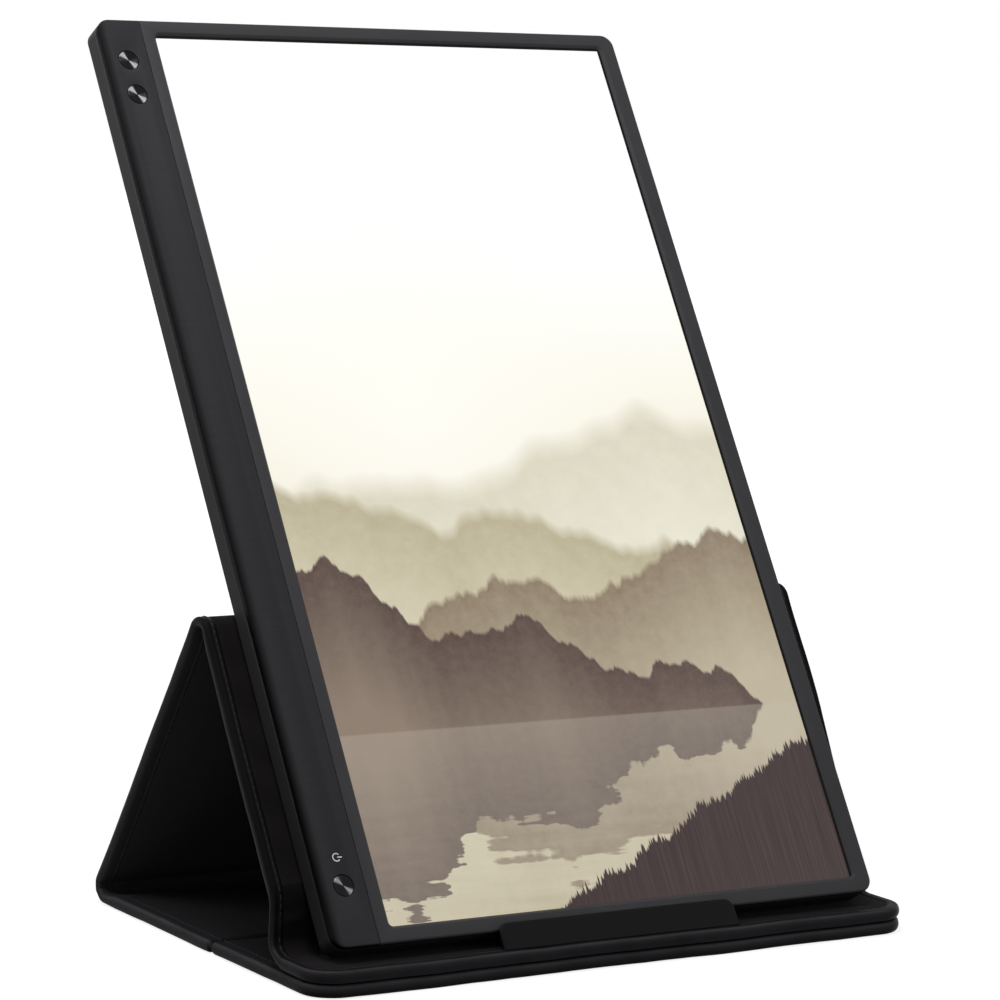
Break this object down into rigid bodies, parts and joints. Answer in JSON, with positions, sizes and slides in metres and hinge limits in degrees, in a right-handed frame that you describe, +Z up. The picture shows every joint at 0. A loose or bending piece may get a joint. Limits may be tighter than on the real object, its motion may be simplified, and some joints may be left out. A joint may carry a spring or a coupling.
{
  "type": "portable monitor with cover",
  "caption": "Slim portable monitor standing upright on its folding cover, whose panels form a triangular stand with a ledge and a lip in front.",
  "frame": {"origin": "middle of the footprint of the whole part, on the table", "axes": "+Z up, +Y from the screen's face to the rear, +X to the right seen from the front"},
  "size_m": [0.2488, 0.2086, 0.3161],
  "materials": {
    "case": "fine metallic dark grey, matt",
    "chin": "fine metallic darker grey, matt",
    "button": "spun, dark anodised",
    "screen": "matt anti-glare, lit",
    "guide": "clear acrylic sheet",
    "tray": "folded sheet",
    "board": "green solder mask",
    "led": "white strip",
    "flex": "amber film",
    "bare_metal": "plain steel",
    "switch": "plated",
    "tongue": "black",
    "leather": "fine-grained imitation leather",
    "lining": "fine twill lining",
    "stiffener": "grey pressed board",
    "magnet": "nickel plated",
    "lip": "soft matt"
  },
  "bodies": {
    "base": {"base_rear_skin": "leather", "base_rear_board": "stiffener", "base_rear_lining": "lining", "base_crease": "leather", "base_front_skin": "leather", "base_front_board": "stiffener", "base_front_lining": "lining", "base_magnets": "magnet", "rear_crease": "leather"},
    "rear_panel": {"rear_panel_skin": "leather", "rear_panel_board": "stiffener", "rear_panel_lining": "lining", "ridge_crease": "leather"},
    "support": {"support_skin": "leather", "support_board": "stiffener", "support_lining": "lining", "foot_crease": "leather"},
    "ledge": {"ledge_skin": "leather", "ledge_board": "stiffener", "ledge_lining": "lining", "ledge_magnets": "magnet"},
    "lip": {"lip": "lip"},
    "monitor": {"rear_shell": "case", "front_frame": "case", "chin_cover": "chin", "lcd_panel": "screen", "light_guide": "guide", "lcd_tray": "tray", "led_bar": "led", "driver_board": "board", "main_board": "board", "board_screws": "bare_metal", "flex_cable": "flex", "port_shell": "bare_metal", "port_tongue": "tongue", "key_switches": "switch"},
    "power_button": {"power_button": "button"},
    "menu_button_upper": {"menu_button_upper": "button"},
    "menu_button_lower": {"menu_button_lower": "button"}
  },
  "joints": [
    {"name": "rear_fold", "type": "hinge", "parent": "base", "child": "rear_panel", "pos_m": [0, 0.05068, 0.0047], "axis": [1, 0, 0], "range_deg": [0, 57], "deforming": ["rear_crease"]},
    {"name": "ridge_fold", "type": "hinge", "parent": "rear_panel", "child": "support", "pos_m": [0, -0.01514, 0.10801], "axis": [1, 0, 0], "range_deg": [-114.01, 0], "deforming": ["ridge_crease"]},
    {"name": "ledge_fold", "type": "hinge", "parent": "support", "child": "ledge", "pos_m": [0, -0.08096, 0.0047], "axis": [1, 0, 0], "range_deg": [0, 57.01], "deforming": ["foot_crease"]},
    {"name": "lip_fold", "type": "hinge", "parent": "ledge", "child": "lip", "pos_m": [0, -0.10048, 0.01045], "axis": [1, 0, 0], "range_deg": [0, 110]},
    {"name": "monitor_lift", "type": "slide", "parent": "ledge", "child": "monitor", "axis": [0, 0.5373, 0.8434], "range_m": [0, 0.12]},
    {"name": "power_press", "type": "slide", "parent": "monitor", "child": "power_button", "axis": [0, 0.8434, -0.5373], "range_m": [0, 0.0004], "stiffness_N_per_m": 2000, "springref_m": -0.0005},
    {"name": "menu_press_upper", "type": "slide", "parent": "monitor", "child": "menu_button_upper", "axis": [0, 0.8434, -0.5373], "range_m": [0, 0.0004], "stiffness_N_per_m": 2000, "springref_m": -0.0005},
    {"name": "menu_press_lower", "type": "slide", "parent": "monitor", "child": "menu_button_lower", "axis": [0, 0.8434, -0.5373], "range_m": [0, 0.0004], "stiffness_N_per_m": 2000, "springref_m": -0.0005}
  ],
  "couplings": [
    {"joint": "ridge_fold", "follows": "rear_fold", "ratio": -2},
    {"joint": "ledge_fold", "follows": "rear_fold", "ratio": 1}
  ]
}
